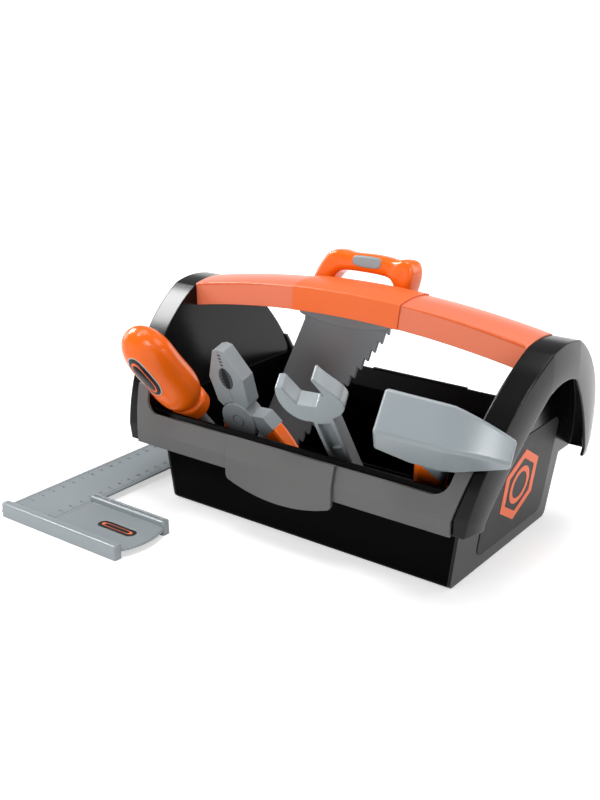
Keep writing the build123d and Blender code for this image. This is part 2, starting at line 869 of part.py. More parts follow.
def make_pliers_half(handle, joint):
    """Left jaw, front boss and right neck, with room for the other half's boss."""
    other_lap = Pos(0, 0, (lap_gap - pliers_thickness) / 2 - boss_rise) * Cylinder(
        pivot_boss_radius + boss_groove, pliers_thickness + boss_rise * 2
    )
    jaw = flat_block(jaw_outline(), pliers_thickness) - jaw_nicks()
    neck = flat_block(handle - grip_zone(joint), pliers_thickness)
    lap_height = (pliers_thickness - lap_gap) / 2 + boss_rise
    lap = Pos(0, 0, (lap_gap + lap_height) / 2) * Cylinder(pivot_boss_radius, lap_height)
    lap = fillet(lap.edges().sort_by(Axis.Z)[-1:], boss_rise)
    half = (jaw + neck) - other_lap
    bore = Cylinder(pin_radius + pin_running_gap, pliers_thickness * 2)
    ring_height = pliers_thickness / 2 + boss_rise - pin_ring_depth
    ring = Pos(0, 0, ring_height + pliers_thickness / 2) * Cylinder(pin_radius + pin_ring_width, pliers_thickness)
    return half + lap - bore - ring


def make_pliers_grip(handle, joint):
    block = flat_block(handle & grip_zone(joint), pliers_thickness)
    rims = block.edges().filter_by(lambda e: abs(abs(e.center().Z) - pliers_thickness / 2) < skin_gap)
    ends = rims.sort_by(Axis.Y)[:-2]
    boss_room = Cylinder(pivot_boss_radius + boss_groove, pliers_thickness * 2)
    return fillet(ends, grip_edge_radius) - boss_room


def make_pliers_pin():
    return pliers_place * Cylinder(pin_radius, pliers_thickness + boss_rise * 2)


wide_handle = handle_face((wide_root_x, wide_root_rise), (wide_knee_x, wide_knee_drop), wide_end_x)
close_handle = handle_face((close_root_x, close_root_rise), (close_knee_x, close_knee_drop), close_end_x)
wide_joint = (wide_joint_x, wide_joint_drop)
close_joint = (close_joint_x, close_joint_drop)


def make_pliers():
    """Back half with the wide handle on the right, front half with the close one on the left."""
    back_half = mirror(make_pliers_half(wide_handle, wide_joint), about=Plane.XY)
    front_half = mirror(make_pliers_half(close_handle, close_joint), about=Plane.YZ)
    right_grip = make_pliers_grip(wide_handle, wide_joint)
    left_grip = mirror(make_pliers_grip(close_handle, close_joint), about=Plane.YZ)
    return [pliers_place * piece for piece in (back_half, front_half, right_grip, left_grip)]


# Screwdriver, along its own shaft from the tip at zero
driver_lift = driver_tip_radius * sin(radians(driver_lean))
driver_place = Plane(
    origin=(driver_inset - tub_half_length, driver_y, floor_seat + driver_lift),
    x_dir=(1, 0, 0),
    z_dir=(0, -sin(radians(driver_lean)), cos(radians(driver_lean))),
)


def make_driver_shaft():
    rod = Pos(0, 0, driver_shaft_length / 2) * Cylinder(driver_shaft_radius, driver_shaft_length)
    wedge = Polyline(
        (-blade_flat_thickness / 2, 0),
        (blade_flat_thickness / 2, 0),
        (driver_shaft_radius, blade_flat_length),
        (driver_shaft_radius, driver_shaft_length),
        (-driver_shaft_radius, driver_shaft_length),
        (-driver_shaft_radius, blade_flat_length),
        close=True,
    )
    return driver_place * (rod & along_y(make_face(wedge), -driver_shaft_radius, driver_shaft_radius))


def make_driver_collar():
    collar = Pos(0, 0, driver_shaft_length + driver_collar_length / 2) * Cylinder(
        driver_collar_radius, driver_collar_length
    )
    return driver_place * fillet(collar.edges(), driver_collar_length / 4)


bulb_base = driver_shaft_length + driver_collar_length


def bulb_profile():
    wide = (bulb_radius, bulb_base + bulb_length * bulb_wide_share)
    nose = (bulb_nose_radius, bulb_base + bulb_length * bulb_nose_share)
    side = Spline(
        (bulb_neck_radius, bulb_base), wide, nose, (0, bulb_base + bulb_length),
        tangents=((1, 1), (-1, 0)),
    )
    middle_line = Line((0, bulb_base + bulb_length), (0, bulb_base))
    edges = [side, middle_line, Line((0, bulb_base), (bulb_neck_radius, bulb_base))]
    return Plane.XZ * make_face(Wire(edges))


def make_driver_bulb():
    return driver_place * revolve(bulb_profile(), Axis.Z)


# Square: a stock with a lip along its front, a ridge along its rear, and a thin blade
stock_right = stock_left + stock_length
stock_rear = stock_front + stock_width
deck_start = square_blade_left + square_blade_width + seat_gap
deck_underside = stock_deck_height - stock_deck_thickness


def stock_end_face(start, front, rear):
    """A plate seen from above, whose right end swells out between the two lips."""
    middle = (front + rear) / 2
    edges = [
        Line((start, front), (stock_right, front)),
        ThreePointArc((stock_right, front), (stock_right + stock_end_bulge, middle), (stock_right, rear)),
        Line((stock_right, rear), (start, rear)),
        Line((start, rear), (start, front)),
    ]
    return make_face(Wire(edges))


def stock_bar(start, front, width):
    """A raised bar that stands on the floor, along the stock."""
    length = stock_right - start
    face = Pos(start + length / 2, front + width / 2) * Rectangle(length, width)
    face = fillet(face.vertices(), stock_plan_radius)
    bar = extrude(face, stock_lip_height)
    tops = bar.edges().filter_by(lambda e: abs(e.center().Z - stock_lip_height) < skin_gap)
    return fillet(tops, stock_corner_radius)


def badge_face(grow):
    place = Pos(stock_right - badge_end_gap - badge_length / 2, stock_front + stock_width / 2)
    return place * SlotOverall(badge_length + grow * 2, badge_width + grow * 2)


def make_square_stock():
    inner_front = stock_front + stock_lip_width
    ridge_front = stock_rear - stock_lip_width
    front_lip = stock_bar(stock_left, stock_front, stock_lip_width)
    rear_ridge = stock_bar(stock_ridge_start, ridge_front, stock_lip_width)
    deck = Pos(0, 0, deck_underside) * extrude(
        stock_end_face(deck_start, inner_front - seat_gap, ridge_front + seat_gap), stock_deck_thickness
    )
    tab_length = stock_width - seat_gap * 2
    tab = Pos(
        deck_start + (stock_tab_reach - square_blade_width) / 2,
        stock_front + stock_width / 2,
        deck_underside - stock_deck_thickness / 2 - skin_gap / 2,
    ) * Box(square_blade_width + stock_tab_reach, tab_length, stock_deck_thickness - skin_gap)
    join = Pos(deck_start + stock_tab_reach / 2, (inner_front + ridge_front) / 2, deck_underside) * Box(
        stock_tab_reach - seat_gap, ridge_front - inner_front, stock_deck_thickness
    )
    groove = Pos(
        (stock_ridge_start + stock_right) / 2, stock_rear - stock_lip_width / 2, stock_lip_height
    ) * Box(stock_length, stock_ridge_groove, stock_groove_depth * 2)
    recess = Pos(0, 0, stock_deck_height - badge_depth) * extrude(badge_face(skin_gap), overrun)
    body = front_lip + rear_ridge + deck + tab + join
    return body - groove - recess - blade_plate(seat_gap)


def blade_plate(room):
    """The blade from above, drawn out through its thickness, with room around it."""
    start = stock_front + stock_lip_width + seat_gap
    length = square_blade_end - start
    middle = Pos(square_blade_left + square_blade_width / 2, start + length / 2)
    face = middle * Rectangle(square_blade_width + room * 2 - skin_gap, length + room * 2 - skin_gap)
    far_corners = face.vertices().sort_by(Axis.Y)[-2:]
    face = fillet(far_corners, square_blade_corner)
    height = square_blade_thickness + room - skin_gap / 2
    return Pos(0, 0, stock_deck_height - square_blade_thickness) * extrude(face, height)


def make_square_blade():
    return blade_plate(0)


def make_square_badge():
    plate = extrude(badge_face(0), badge_depth - skin_gap)
    return Pos(0, 0, stock_deck_height - badge_depth + skin_gap) * plate


hood = make_hood()
fascia = make_fascia()
centre_plate = make_centre_plate()
pliers_back_half, pliers_front_half, pliers_right_grip, pliers_left_grip = make_pliers()

pieces = {
    "tub": make_tub(),
    "right_hood": hood,
    "left_hood": other_end(hood),
    "front_fascia": fascia,
    "rear_fascia": other_side(fascia),
    "front_centre_plate": centre_plate,
    "rear_centre_plate": other_side(centre_plate),
    "handle_bar": make_handle_bar(),
    "handle_grip": make_handle_grip(),
    "end_label": make_end_label(),
    "hammer_head": make_hammer_head(),
    "hammer_handle": make_hammer_handle(),
    "hammer_grip": make_hammer_grip(),
    "saw_blade": make_saw_blade(),
    "saw_ferrule": make_saw_ferrule(),
    "saw_handle": make_saw_handle(),
    "saw_insert": make_saw_insert(),
    "wrench": make_wrench(),
    "pliers_front_half": pliers_front_half,
    "pliers_back_half": pliers_back_half,
    "pliers_right_grip": pliers_right_grip,
    "pliers_left_grip": pliers_left_grip,
    "pliers_pivot_pin": make_pliers_pin(),
    "screwdriver_shaft": make_driver_shaft(),
    "screwdriver_collar": make_driver_collar(),
    "screwdriver_handle": make_driver_bulb(),
    "square_stock": make_square_stock(),
    "square_blade": make_square_blade(),
    "square_badge": make_square_badge(),
}

os.makedirs("parts", exist_ok=True)
for name, piece in pieces.items():
    export_step(piece, f"parts/{name}.step")
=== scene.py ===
"""Looks of a toy tool box, its tools and the square beside it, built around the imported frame."""
import logging
import math
from dataclasses import dataclass, field
from enum import Enum

import bmesh
import bpy
from mathutils import Matrix, Vector
from mathutils.bvhtree import BVHTree


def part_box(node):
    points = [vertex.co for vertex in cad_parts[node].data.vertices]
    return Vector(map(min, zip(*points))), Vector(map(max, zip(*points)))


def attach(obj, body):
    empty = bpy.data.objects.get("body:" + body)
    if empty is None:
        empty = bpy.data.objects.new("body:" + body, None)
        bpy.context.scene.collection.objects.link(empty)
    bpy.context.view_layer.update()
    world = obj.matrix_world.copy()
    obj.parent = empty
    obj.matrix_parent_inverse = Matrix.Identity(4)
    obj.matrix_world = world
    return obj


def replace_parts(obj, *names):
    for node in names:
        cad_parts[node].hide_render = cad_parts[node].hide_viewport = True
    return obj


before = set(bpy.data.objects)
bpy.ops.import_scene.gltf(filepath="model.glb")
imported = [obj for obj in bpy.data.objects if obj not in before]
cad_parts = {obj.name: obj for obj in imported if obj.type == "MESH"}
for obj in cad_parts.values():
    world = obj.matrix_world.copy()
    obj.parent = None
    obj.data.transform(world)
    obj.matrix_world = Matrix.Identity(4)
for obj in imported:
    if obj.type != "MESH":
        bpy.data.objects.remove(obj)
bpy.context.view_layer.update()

log = logging.getLogger("tool_box")

# One millimetre in the frame's metres.
MM = 0.001
Point = tuple[float, float, float]
Flat = tuple[float, float]


class Body(Enum):
    """The rigid bodies of the frame that new pieces ride on."""

    BOX = "box"
    HAMMER = "hammer"
    SAW = "saw"
    PLIERS_BACK = "pliers_back"
    PLIERS_FRONT = "pliers_front"
    SCREWDRIVER = "screwdriver"
    SQUARE = "square"


class Slot(Enum):
    """The record's material slot names that new pieces carry; nothing reads them."""

    BLACK = "black_gloss"
    ORANGE = "orange_gloss"
    TOOL = "tool_grey"
    LABEL = "label_dark"


@dataclass(frozen=True)
class Grain:
    """A noise in a moulding: the size of one blotch in metres, and its octaves."""

    size: float
    detail: float


FLOW = Grain(0.045, 3.0)
RUBBING = Grain(0.018, 4.0)
SKIN_DETAIL = 2.0
# The part of a noise's range that runs from the lowest to the highest value of a finish.
FLOW_SPAN = (0.15, 0.85)
RUBBING_SPAN = (0.1, 0.9)
EDGE_SAMPLES = 8
OVAL_SIDES = 48


@dataclass(frozen=True)
class Plastic:
    """A moulded plastic finish with its grain, flow mottle and handling marks, lengths in metres."""

    name: str
    colour: Point
    roughness: float = 0.30
    specular: float = 0.5
    mottle: float = 0.05
    grain_size: float = 0.0009
    grain_depth: float = 0.000008
    marks: float = 0.06
    edge_radius: float = 0.0006

    def build(self) -> bpy.types.Material:
        """Make the material.

        Returns:
            The finished node material.
        """
        material = bpy.data.materials.new(self.name)
        material.use_nodes = True
        tree = material.node_tree
        shader = tree.nodes["Principled BSDF"]
        shader.inputs["Specular IOR Level"].default_value = self.specular
        place = tree.nodes.new("ShaderNodeTexCoord")
        self._colour(tree, place, shader)
        self._gloss(tree, place, shader)
        self._relief(tree, place, shader)
        return material

    def _noise(self, tree: bpy.types.NodeTree, place: bpy.types.Node, grain: Grain) -> bpy.types.Node:
        """Add a noise texture on object coordinates.

        Args:
            tree: The material's node tree.
            place: The texture coordinate node.
            grain: Size and octaves of the noise.

        Returns:
            The noise node.
        """
        noise = tree.nodes.new("ShaderNodeTexNoise")
        noise.inputs["Scale"].default_value = 1.0 / grain.size
        noise.inputs["Detail"].default_value = grain.detail
        tree.links.new(place.outputs["Object"], noise.inputs["Vector"])
        return noise

    def _colour(self, tree: bpy.types.NodeTree, place: bpy.types.Node, shader: bpy.types.Node) -> None:
        """Vary the colour softly, as flow marks in the moulding do.

        Args:
            tree: The material's node tree.
            place: The texture coordinate node.
            shader: The surface shader.
        """
        noise = self._noise(tree, place, FLOW)
        ramp = tree.nodes.new("ShaderNodeValToRGB")
        low = tuple(max(0.0, c * (1.0 - self.mottle)) for c in self.colour)
        high = tuple(min(1.0, c * (1.0 + self.mottle)) for c in self.colour)
        for stop, position, colour in zip(ramp.color_ramp.elements, FLOW_SPAN, (low, high)):
            stop.position = position
            stop.color = (*colour, 1.0)
        tree.links.new(noise.outputs["Fac"], ramp.inputs["Fac"])
        tree.links.new(ramp.outputs["Color"], shader.inputs["Base Color"])

    def _gloss(self, tree: bpy.types.NodeTree, place: bpy.types.Node, shader: bpy.types.Node) -> None:
        """Vary the roughness where hands have rubbed the surface.

        Args:
            tree: The material's node tree.
            place: The texture coordinate node.
            shader: The surface shader.
        """
        rubbed = self._noise(tree, place, RUBBING)
        spread = tree.nodes.new("ShaderNodeMapRange")
        spread.inputs["From Min"].default_value = RUBBING_SPAN[0]
        spread.inputs["From Max"].default_value = RUBBING_SPAN[1]
        spread.inputs["To Min"].default_value = self.roughness - self.marks / 2
        spread.inputs["To Max"].default_value = self.roughness + self.marks / 2
        tree.links.new(rubbed.outputs["Fac"], spread.inputs["Value"])
        tree.links.new(spread.outputs["Result"], shader.inputs["Roughness"])

    def _relief(self, tree: bpy.types.NodeTree, place: bpy.types.Node, shader: bpy.types.Node) -> None:
        """Add the fine moulded grain, over edges that read as slightly rounded.

        Args:
            tree: The material's node tree.
            place: The texture coordinate node.
            shader: The surface shader.
        """
        grain = self._noise(tree, place, Grain(self.grain_size, SKIN_DETAIL))
        bump = tree.nodes.new("ShaderNodeBump")
        bump.inputs["Strength"].default_value = 1.0
        bump.inputs["Distance"].default_value = self.grain_depth
        tree.links.new(grain.outputs["Fac"], bump.inputs["Height"])
        if self.edge_radius:
            edge = tree.nodes.new("ShaderNodeBevel")
            edge.samples = EDGE_SAMPLES
            edge.inputs["Radius"].default_value = self.edge_radius
            tree.links.new(edge.outputs["Normal"], bump.inputs["Normal"])
        tree.links.new(bump.outputs["Normal"], shader.inputs["Normal"])


TUB_BLACK = Plastic("tub_black", (0.0010, 0.0011, 0.0012), roughness=0.30, specular=0.02, mottle=0.10)
HOOD_BLACK = Plastic(
    "hood_black", (0.0013, 0.0013, 0.0014),
    roughness=0.20, specular=0.22, mottle=0.02, marks=0.02, edge_radius=0.0022,
)
GREY = Plastic("fascia_grey", (0.106, 0.105, 0.104), roughness=0.40, specular=0.30, mottle=0.02, marks=0.03)
ORANGE = Plastic(
    "orange_gloss", (0.880, 0.138, 0.005),
    roughness=0.20, specular=0.32, mottle=0.02, marks=0.03, edge_radius=0.0010,
)
HANDLE_ORANGE = Plastic(
    "handle_orange", (0.740, 0.178, 0.088),
    roughness=0.30, specular=0.35, mottle=0.02, marks=0.02, edge_radius=0.0010,
)
GRIP = Plastic("orange_grip", (0.800, 0.140, 0.030), roughness=0.36, specular=0.30, mottle=0.02, marks=0.03)
TOOL_GREY = Plastic(
    "tool_grey", (0.255, 0.290, 0.308),
    roughness=0.26, specular=0.50, mottle=0.02, marks=0.03, edge_radius=0.0010,
)
MARK_GREY = Plastic("mark_grey", (0.120, 0.134, 0.146), roughness=0.45, specular=0.30, edge_radius=0.0)
PALE_RIM = Plastic("pale_rim", (0.420, 0.440, 0.440), roughness=0.30, specular=0.45, edge_radius=0.0)
PLATE_DARK = Plastic("plate_dark", (0.020, 0.020, 0.020), roughness=0.45, specular=0.16, mottle=0.02)
# Dark groove lines round the pliers' pin, and painted shade in the pliers' oval hollow and between their
# teeth.
GROOVE_AND_SHADE_DARK = Plastic("groove_dark_and_painted_shade", (0.014, 0.016, 0.018), roughness=0.55, specular=0.15, edge_radius=0.0)
PLATE_GLOSS = Plastic("plate_gloss", (0.006, 0.006, 0.006), roughness=0.22, specular=0.30)
# Painted shade: a darker orange for the shaded chamfer along the handle's top front edge.
CHAMFER_SHADE_ORANGE = Plastic(
    "painted_chamfer_shade", (0.640, 0.105, 0.022),
    roughness=0.34, specular=0.25, mottle=0.02, marks=0.02, edge_radius=0.0,
)
PRINT_ORANGE = Plastic("print_orange", (0.860, 0.150, 0.045), roughness=0.45, specular=0.30, edge_radius=0.0)


@dataclass
class Palette:
    """Every finish, built once and shared between pieces."""

    made: dict[str, bpy.types.Material] = field(default_factory=dict)

    def get(self, finish: Plastic) -> bpy.types.Material:
        """Return the material of a finish, building it the first time.

        Args:
            finish: The finish that is wanted.

        Returns:
            The shared material.
        """
        if finish.name not in self.made:
            self.made[finish.name] = finish.build()
        return self.made[finish.name]

    def dress(self, node: str, finish: Plastic) -> None:
        """Give a frame node a finish in its only slot.

        Args:
            node: Name of the frame node.
            finish: The finish that it gets.
        """
        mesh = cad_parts[node].data
        mesh.materials.clear()
        mesh.materials.append(self.get(finish))


@dataclass(frozen=True)
class Seat:
    """A place on the object in millimetres: an origin, the way across and the way out."""

    origin: Point
    across: Point = (1.0, 0.0, 0.0)
    out: Point = (0.0, 0.0, 1.0)

    def matrix(self) -> Matrix:
        """Work out the transform from local millimetres to the frame's metres.

        Returns:
            The transform.
        """
        out = Vector(self.out).normalized()
        across = Vector(self.across)
        across = (across - out * across.dot(out)).normalized()
        turn = Matrix((across, out.cross(across), out)).transposed().to_4x4()
        return Matrix.Translation(Vector(self.origin) * MM) @ turn @ Matrix.Scale(MM, 4)


def drawn_out(shape: bmesh.types.BMesh, faces: list[bmesh.types.BMFace]) -> list[bmesh.types.BMVert]:
    """Draw faces out of a mesh, without moving them yet.

    Args:
        shape: The mesh.
        faces: The faces that are drawn out.

    Returns:
        The corners of the faces' new ends.
    """
    raised = bmesh.ops.extrude_face_region(shape, geom=faces)["geom"]
    return [item for item in raised if isinstance(item, bmesh.types.BMVert)]


def softened(shape: bmesh.types.BMesh, edges: list[bmesh.types.BMEdge], width: float, segments: int) -> None:
    """Bevel edges of a mesh.

    Args:
        shape: The mesh.
        edges: The edges that are bevelled.
        width: Width of the bevel.
        segments: How many strips it has.
    """
    bmesh.ops.bevel(
        shape, geom=edges, offset=width, affect="EDGES", segments=segments, profile=0.5, material=-1
    )


@dataclass
class Piece:
    """One new piece: a bmesh in its own millimetres, put in place and dressed at the end.

    Each corner of a wrapped sheet casts one ray per nudge and takes the nearest hit, so that a ray which
    slips between two triangles of the surface leaves no gap. The reach of a ray is in metres.
    """

    name: str
    body: Body
    finish: Plastic
    slot: Slot
    seat: Seat
    smooth_angle: float = 35.0
    levels: int = 0
    nudges: tuple[Flat, ...] = ((0.013, 0.017), (-0.021, 0.009))
    ray_start: float = 30.0
    ray_reach: float = 0.08
    weld: float = 0.0005
    shape: bmesh.types.BMesh = field(default_factory=bmesh.new)

    def thicken(self, faces: list[bmesh.types.BMFace], depth: float) -> list[bmesh.types.BMVert]:
        """Draw flat faces out to a thickness.

        Args:
            faces: The faces.
            depth: How far they are drawn out.

        Returns:
            The corners of their tops.
        """
        tops = drawn_out(self.shape, faces)
        bmesh.ops.translate(self.shape, verts=tops, vec=(0.0, 0.0, depth))
        return tops

    def plate(self, outline: list[Flat], low: float, high: float, bevel: float) -> None:
        """Add a flat plate drawn out from an outline, with its upper edges bevelled.

        Args:
            outline: The corners of the plate, counter-clockwise.
            low: Height of its underside.
            high: Height of its top.
            bevel: Width of the bevel along its upper edges.
        """
        face = self.shape.faces.new([self.shape.verts.new((x, y, low)) for x, y in outline])
        tops = self.thicken([face], high - low)
        rim = [edge for edge in self.shape.edges if all(vert in tops for vert in edge.verts)]
        softened(self.shape, rim, bevel, 2)

    def ring(self, segments: int, radius: float, band: float) -> None:
        """Add a flat ring.

        Args:
            segments: How many sides the ring has.
            radius: Its outer radius.
            band: How wide the ring is.
        """
        made = bmesh.ops.create_circle(self.shape, cap_ends=True, segments=segments, radius=radius)
        faces = list({face for vert in made["verts"] for face in vert.link_faces})
        bmesh.ops.inset_region(
            self.shape, faces=faces, use_boundary=True, thickness=band, use_even_offset=True
        )
        bmesh.ops.delete(self.shape, geom=faces, context="FACES")

    def oval(
        self, half_length: float, half_width: float, rings: int = 7, square: float = 1.0, hole: bool = False
    ) -> None:
        """Add a flat oval sheet, long way up, with rings so that it can be wrapped on a curved surface.

        Args:
            half_length: Half of its length.
            half_width: Half of its width.
            rings: How many rings divide it.
            square: One for a true oval, less for fuller corners.
            hole: Leave only its outermost ring.
        """
        band = 1.0 / (rings + 1)
        if hole:
            self.ring(OVAL_SIDES, 1.0, band)
        else:
            made = bmesh.ops.create_circle(self.shape, cap_ends=True, segments=OVAL_SIDES, radius=1.0)
            faces = list({face for vert in made["verts"] for face in vert.link_faces})
            for _ in range(rings):
                bmesh.ops.inset_region(
                    self.shape, faces=faces, use_boundary=True, thickness=band, use_even_offset=True
                )
            bmesh.ops.poke(self.shape, faces=faces)
        for vert in self.shape.verts:
            reach, turn = vert.co.length, math.atan2(vert.co.y, vert.co.x)
            across = math.copysign(abs(math.cos(turn)) ** square, math.cos(turn))
            along = math.copysign(abs(math.sin(turn)) ** square, math.sin(turn))
            vert.co = (across * reach * half_width, along * reach * half_length, 0.0)

    def wrap(self, target: BVHTree, rise: float, thickness: float) -> None:
        """Press the sheet on a surface behind it and draw it out to a thickness.

        Args:
            target: The surface, in the frame's metres.
            rise: How far its face stands off the surface.
            thickness: Its thickness, from its face inwards.
        """
        place = self.seat.matrix()
        back = place.inverted()
        inwards = -(place.to_3x3() @ Vector((0.0, 0.0, 1.0))).normalized()
        for vert in self.shape.verts:
            hits = []
            for nudge in self.nudges:
                start = place @ Vector((vert.co.x + nudge[0], vert.co.y + nudge[1], self.ray_start))
                spot, normal, _, depth = target.ray_cast(start, inwards, self.ray_reach)
                if spot is not None:
                    hits.append((depth, spot, normal))
            if hits:
                _, spot, normal = min(hits, key=lambda hit: hit[0])
                vert.co = back @ (spot + normal * (rise - thickness) * MM)
        self.thicken(list(self.shape.faces), thickness)

    def bar(self, middle: Point, size: Point, bevel: float, turn: float = 0.0) -> None:
        """Add a small bar with bevelled edges.

        Args:
            middle: Its centre.
            size: Its three sides.
            bevel: Width of the bevel.
            turn: How far it is turned in the seat's plane, in degrees.
        """
        turned = Matrix.Translation(middle) @ Matrix.Rotation(math.radians(turn), 4, "Z")
        made = bmesh.ops.create_cube(self.shape, size=1.0, matrix=turned @ Matrix.Diagonal((*size, 1.0)))
        edges = list({edge for vert in made["verts"] for edge in vert.link_edges})
        softened(self.shape, edges, bevel, 1)

    def place(self, palette: Palette) -> bpy.types.Object:
        """Put the finished shape in its place, dress it and let it ride on its body.

        Args:
            palette: The finishes.

        Returns:
            The finished object.
        """
        bmesh.ops.remove_doubles(self.shape, verts=list(self.shape.verts), dist=self.weld)
        bmesh.ops.recalc_face_normals(self.shape, faces=list(self.shape.faces))
        bmesh.ops.transform(self.shape, matrix=self.seat.matrix(), verts=list(self.shape.verts))
        mesh = bpy.data.meshes.new(self.name)
        self.shape.to_mesh(mesh)
        self.shape.free()
        mesh.materials.append(palette.get(self.finish))
        mesh.polygons.foreach_set("use_smooth", [True] * len(mesh.polygons))
        mesh.set_sharp_from_angle(angle=math.radians(self.smooth_angle))
        piece = bpy.data.objects.new(self.name, mesh)
        bpy.context.scene.collection.objects.link(piece)
        if self.levels:
            smoother = piece.modifiers.new("smoother", "SUBSURF")
            smoother.levels = self.levels
            smoother.render_levels = self.levels
        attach(piece, self.body.value)
        log.info("%s: %d faces", self.name, len(mesh.polygons))
        return piece


def surface_of(thing: bpy.types.Object) -> BVHTree:
    """Return the outer surface of an object in the frame's metres, its modifiers included.

    Args:
        thing: A frame node or a finished piece.

    Returns:
        A tree that rays can be cast on.
    """
    return BVHTree.FromObject(thing, bpy.context.evaluated_depsgraph_get())


@dataclass(frozen=True)
class Lamp:
    """A soft square lamp: place and side in metres, power in watts, and what it shows in."""

    name: str
    place: Point
    size: float
    power: float
    mirrored: bool = True
    lights: bool = True

    def hang(self, aim: Point) -> None:
        """Hang the lamp, looking at a point.

        Args:
            aim: The point that it looks at, in metres.
        """
        light = bpy.data.lights.new(self.name, "AREA")
        light.shape = "SQUARE"
        light.size = self.size
        light.energy = self.power
        lamp = bpy.data.objects.new(self.name, light)
        bpy.context.scene.collection.objects.link(lamp)
        lamp.location = self.place
        way = Vector(aim) - Vector(self.place)
        lamp.rotation_euler = way.to_track_quat("-Z", "Y").to_euler()
        lamp.visible_glossy = self.mirrored
        lamp.visible_diffuse = self.lights


@dataclass
class Studio:
    """Floor, lamps, surroundings and camera."""

    floor_profile: tuple[Flat, ...] = (
        (0.0, 0.0), (1.0, 0.0), (4.4, 0.0), (5.0, 0.05), (5.5, 0.25), (5.8, 0.60), (5.95, 1.10), (6.0, 1.80),
    )
    floor_steps: int = 96
    floor_drop: float = 0.0002
    floor_weld: float = 0.0001
    floor_tone: float = 0.80
    floor_roughness: float = 0.9
    floor_specular: float = 0.05
    near_glow: float = 0.50
    glow_start: float = 0.45
    glow_end: float = 1.30
    surround_level: float = 0.36
    lamps: tuple[Lamp, ...] = (
        Lamp("left_box", (-1.30, -0.30, 0.62), 0.60, 6.0),
        Lamp("key", (0.05, -0.45, 1.75), 0.55, 11.0),
        Lamp("fill", (1.40, -0.55, 0.85), 0.60, 4.5),
        Lamp("top", (0.10, 0.45, 1.70), 1.00, 13.0),
        Lamp("rear_box", (0.95, 1.15, 0.60), 0.80, 6.0),
        Lamp("front", (-0.45, -1.70, 0.42), 0.80, 11.0, mirrored=False),
        Lamp("left_card", (-0.72, -0.08, 0.77), 0.36, 10.5, lights=False),
        Lamp("right_card", (0.86, -0.18, 0.56), 0.30, 3.0, lights=False),
    )
    lamp_aim: Point = (0.0, 0.0, 0.08)
    camera_place: Point = (0.5113, -0.7680, 0.4338)
    azimuth: float = 36.83
    elevation: float = 19.78
    lens: float = 50.0
    sensor_height: float = 36.0

    def build(self) -> None:
        """Set up everything that isn't part of the object."""
        self._floor()
        self._surround()
        for lamp in self.lamps:
            lamp.hang(self.lamp_aim)
        self._camera()
        bpy.context.scene.view_settings.view_transform = "Standard"
        log.info("studio ready")

    def _seen(self, tree: bpy.types.NodeTree) -> bpy.types.NodeSocket:
        """Add a test for the rays that show the background: camera, glossy and transmission.

        Args:
            tree: The node tree that gets the test.

        Returns:
            A socket that is one for those rays.
        """
        path = tree.nodes.new("ShaderNodeLightPath")
        seen = path.outputs["Is Camera Ray"]
        for kind in ("Is Glossy Ray", "Is Transmission Ray"):
            either = tree.nodes.new("ShaderNodeMath")
            either.operation = "MAXIMUM"
            tree.links.new(seen, either.inputs[0])
            tree.links.new(path.outputs[kind], either.inputs[1])
            seen = either.outputs["Value"]
        return seen

    def _floor(self) -> None:
        """Lay a bowl of a floor round the object, with its faces up."""
        mesh = bpy.data.meshes.new("floor")
        sheet = bmesh.new()
        verts = [sheet.verts.new((x, 0.0, z)) for x, z in self.floor_profile]
        edges = [sheet.edges.new((verts[i], verts[i + 1])) for i in range(len(verts) - 1)]
        bmesh.ops.spin(
            sheet, geom=verts + edges, cent=(0.0, 0.0, 0.0), axis=(0.0, 0.0, 1.0), angle=math.tau,
            steps=self.floor_steps, use_merge=True,
        )
        bmesh.ops.remove_doubles(sheet, verts=list(sheet.verts), dist=self.floor_weld)
        bmesh.ops.recalc_face_normals(sheet, faces=list(sheet.faces))
        if sum(face.normal.z * face.calc_area() for face in sheet.faces) < 0.0:
            bmesh.ops.reverse_faces(sheet, faces=list(sheet.faces))
        sheet.to_mesh(mesh)
        sheet.free()
        mesh.polygons.foreach_set("use_smooth", [True] * len(mesh.polygons))
        floor = bpy.data.objects.new("floor", mesh)
        bpy.context.scene.collection.objects.link(floor)
        floor.location.z = -self.floor_drop
        mesh.materials.append(self._floor_material())

    def _floor_material(self) -> bpy.types.Material:
        """Make the floor's finish: white far off, pale near the object so that its shadow shows.

        Returns:
            The finished node material.
        """
        material = bpy.data.materials.new("floor_white")
        material.use_nodes = True
        tree = material.node_tree
        shader = tree.nodes["Principled BSDF"]
        shader.inputs["Base Color"].default_value = (*[self.floor_tone] * 3, 1.0)
        shader.inputs["Roughness"].default_value = self.floor_roughness
        shader.inputs["Specular IOR Level"].default_value = self.floor_specular
        place = tree.nodes.new("ShaderNodeTexCoord")
        far = tree.nodes.new("ShaderNodeVectorMath")
        far.operation = "LENGTH"
        tree.links.new(place.outputs["Object"], far.inputs[0])
        glow = tree.nodes.new("ShaderNodeMapRange")
        glow.interpolation_type = "SMOOTHSTEP"
        glow.inputs["From Min"].default_value = self.glow_start
        glow.inputs["From Max"].default_value = self.glow_end
        glow.inputs["To Min"].default_value = self.near_glow
        glow.inputs["To Max"].default_value = 1.0
        tree.links.new(far.outputs["Value"], glow.inputs["Value"])
        level = tree.nodes.new("ShaderNodeMath")
        level.operation = "MULTIPLY"
        tree.links.new(glow.outputs["Result"], level.inputs[0])
        tree.links.new(self._seen(tree), level.inputs[1])
        shader.inputs["Emission Color"].default_value = (1.0, 1.0, 1.0, 1.0)
        tree.links.new(level.outputs["Value"], shader.inputs["Emission Strength"])
        return material

    def _surround(self) -> None:
        """Light softly from all round."""
        world = bpy.data.worlds.new("surround")
        world.use_nodes = True
        tree = world.node_tree
        plain = tree.nodes["Background"]
        plain.inputs["Color"].default_value = (1.0, 1.0, 1.0, 1.0)
        plain.inputs["Strength"].default_value = self.surround_level
        bpy.context.scene.world = world

